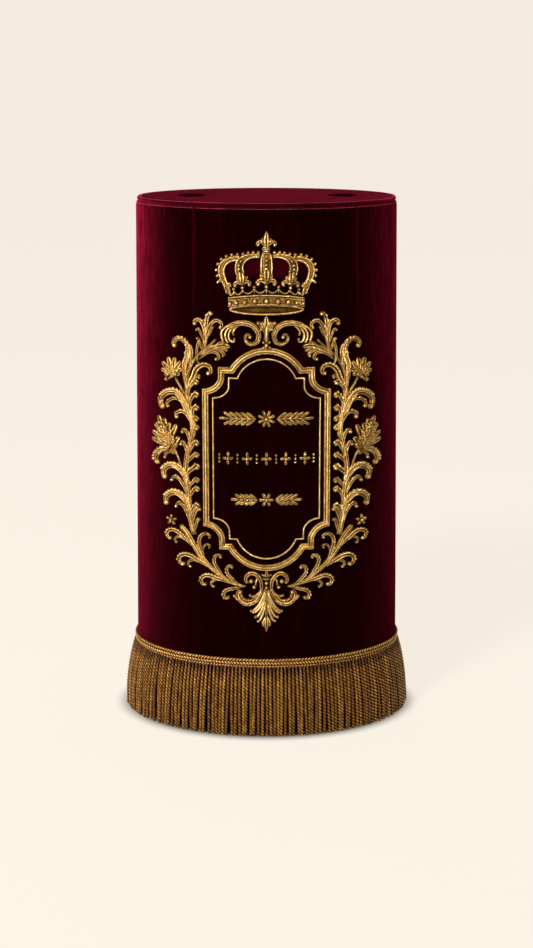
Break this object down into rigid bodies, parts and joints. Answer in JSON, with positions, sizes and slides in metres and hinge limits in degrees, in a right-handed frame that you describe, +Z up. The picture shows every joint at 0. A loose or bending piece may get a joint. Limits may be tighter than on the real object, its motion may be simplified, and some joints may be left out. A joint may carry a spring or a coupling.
{
  "type": "torah mantle",
  "caption": "Oval velvet mantle that slips over a rolled parchment scroll, with raised gold embroidery, two roller holes in its flat top and a twisted fringe at its hem.",
  "frame": {"origin": "on the floor under the middle of the mantle, level with its hem", "axes": "+Z up, the embroidered front faces -Y, +X to the viewer's right"},
  "size_m": [0.3846, 0.2675, 0.684],
  "materials": {
    "velvet": "deep burgundy cotton velvet, dark face on, lighter pile at a low angle",
    "velvet_top": "burgundy velvet over a stiff board",
    "velvet_piping": "burgundy velvet-covered cord",
    "gold_embroidery": "padded gold bullion thread, satin metallic",
    "fringe_gold": "twisted antique gold cord, metallic thread"
  },
  "bodies": {
    "root": {"cartouche_border": "gold_embroidery", "cartouche_line": "gold_embroidery", "crown_arch_1": "gold_embroidery", "crown_arch_2": "gold_embroidery", "crown_arch_3": "gold_embroidery", "crown_arch_4": "gold_embroidery", "crown_arch_5": "gold_embroidery", "crown_band": "gold_embroidery", "crown_finial": "gold_embroidery", "flower_high_left": "gold_embroidery", "flower_high_right": "gold_embroidery", "flower_low_left": "gold_embroidery", "flower_low_right": "gold_embroidery", "flower_wide_left": "gold_embroidery", "flower_wide_right": "gold_embroidery", "foot_palmette": "gold_embroidery", "foot_scroll_left": "gold_embroidery", "foot_scroll_right": "gold_embroidery", "foot_swag_left": "gold_embroidery", "foot_swag_right": "gold_embroidery", "fringe": "fringe_gold", "head_palmette": "gold_embroidery", "head_scroll_left": "gold_embroidery", "head_scroll_right": "gold_embroidery", "top_panel": "velvet_top", "top_piping": "velvet_piping", "wall": "velvet", "wreath_left_lower": "gold_embroidery", "wreath_left_upper": "gold_embroidery", "wreath_right_lower": "gold_embroidery", "wreath_right_upper": "gold_embroidery"}
  },
  "joints": []
}
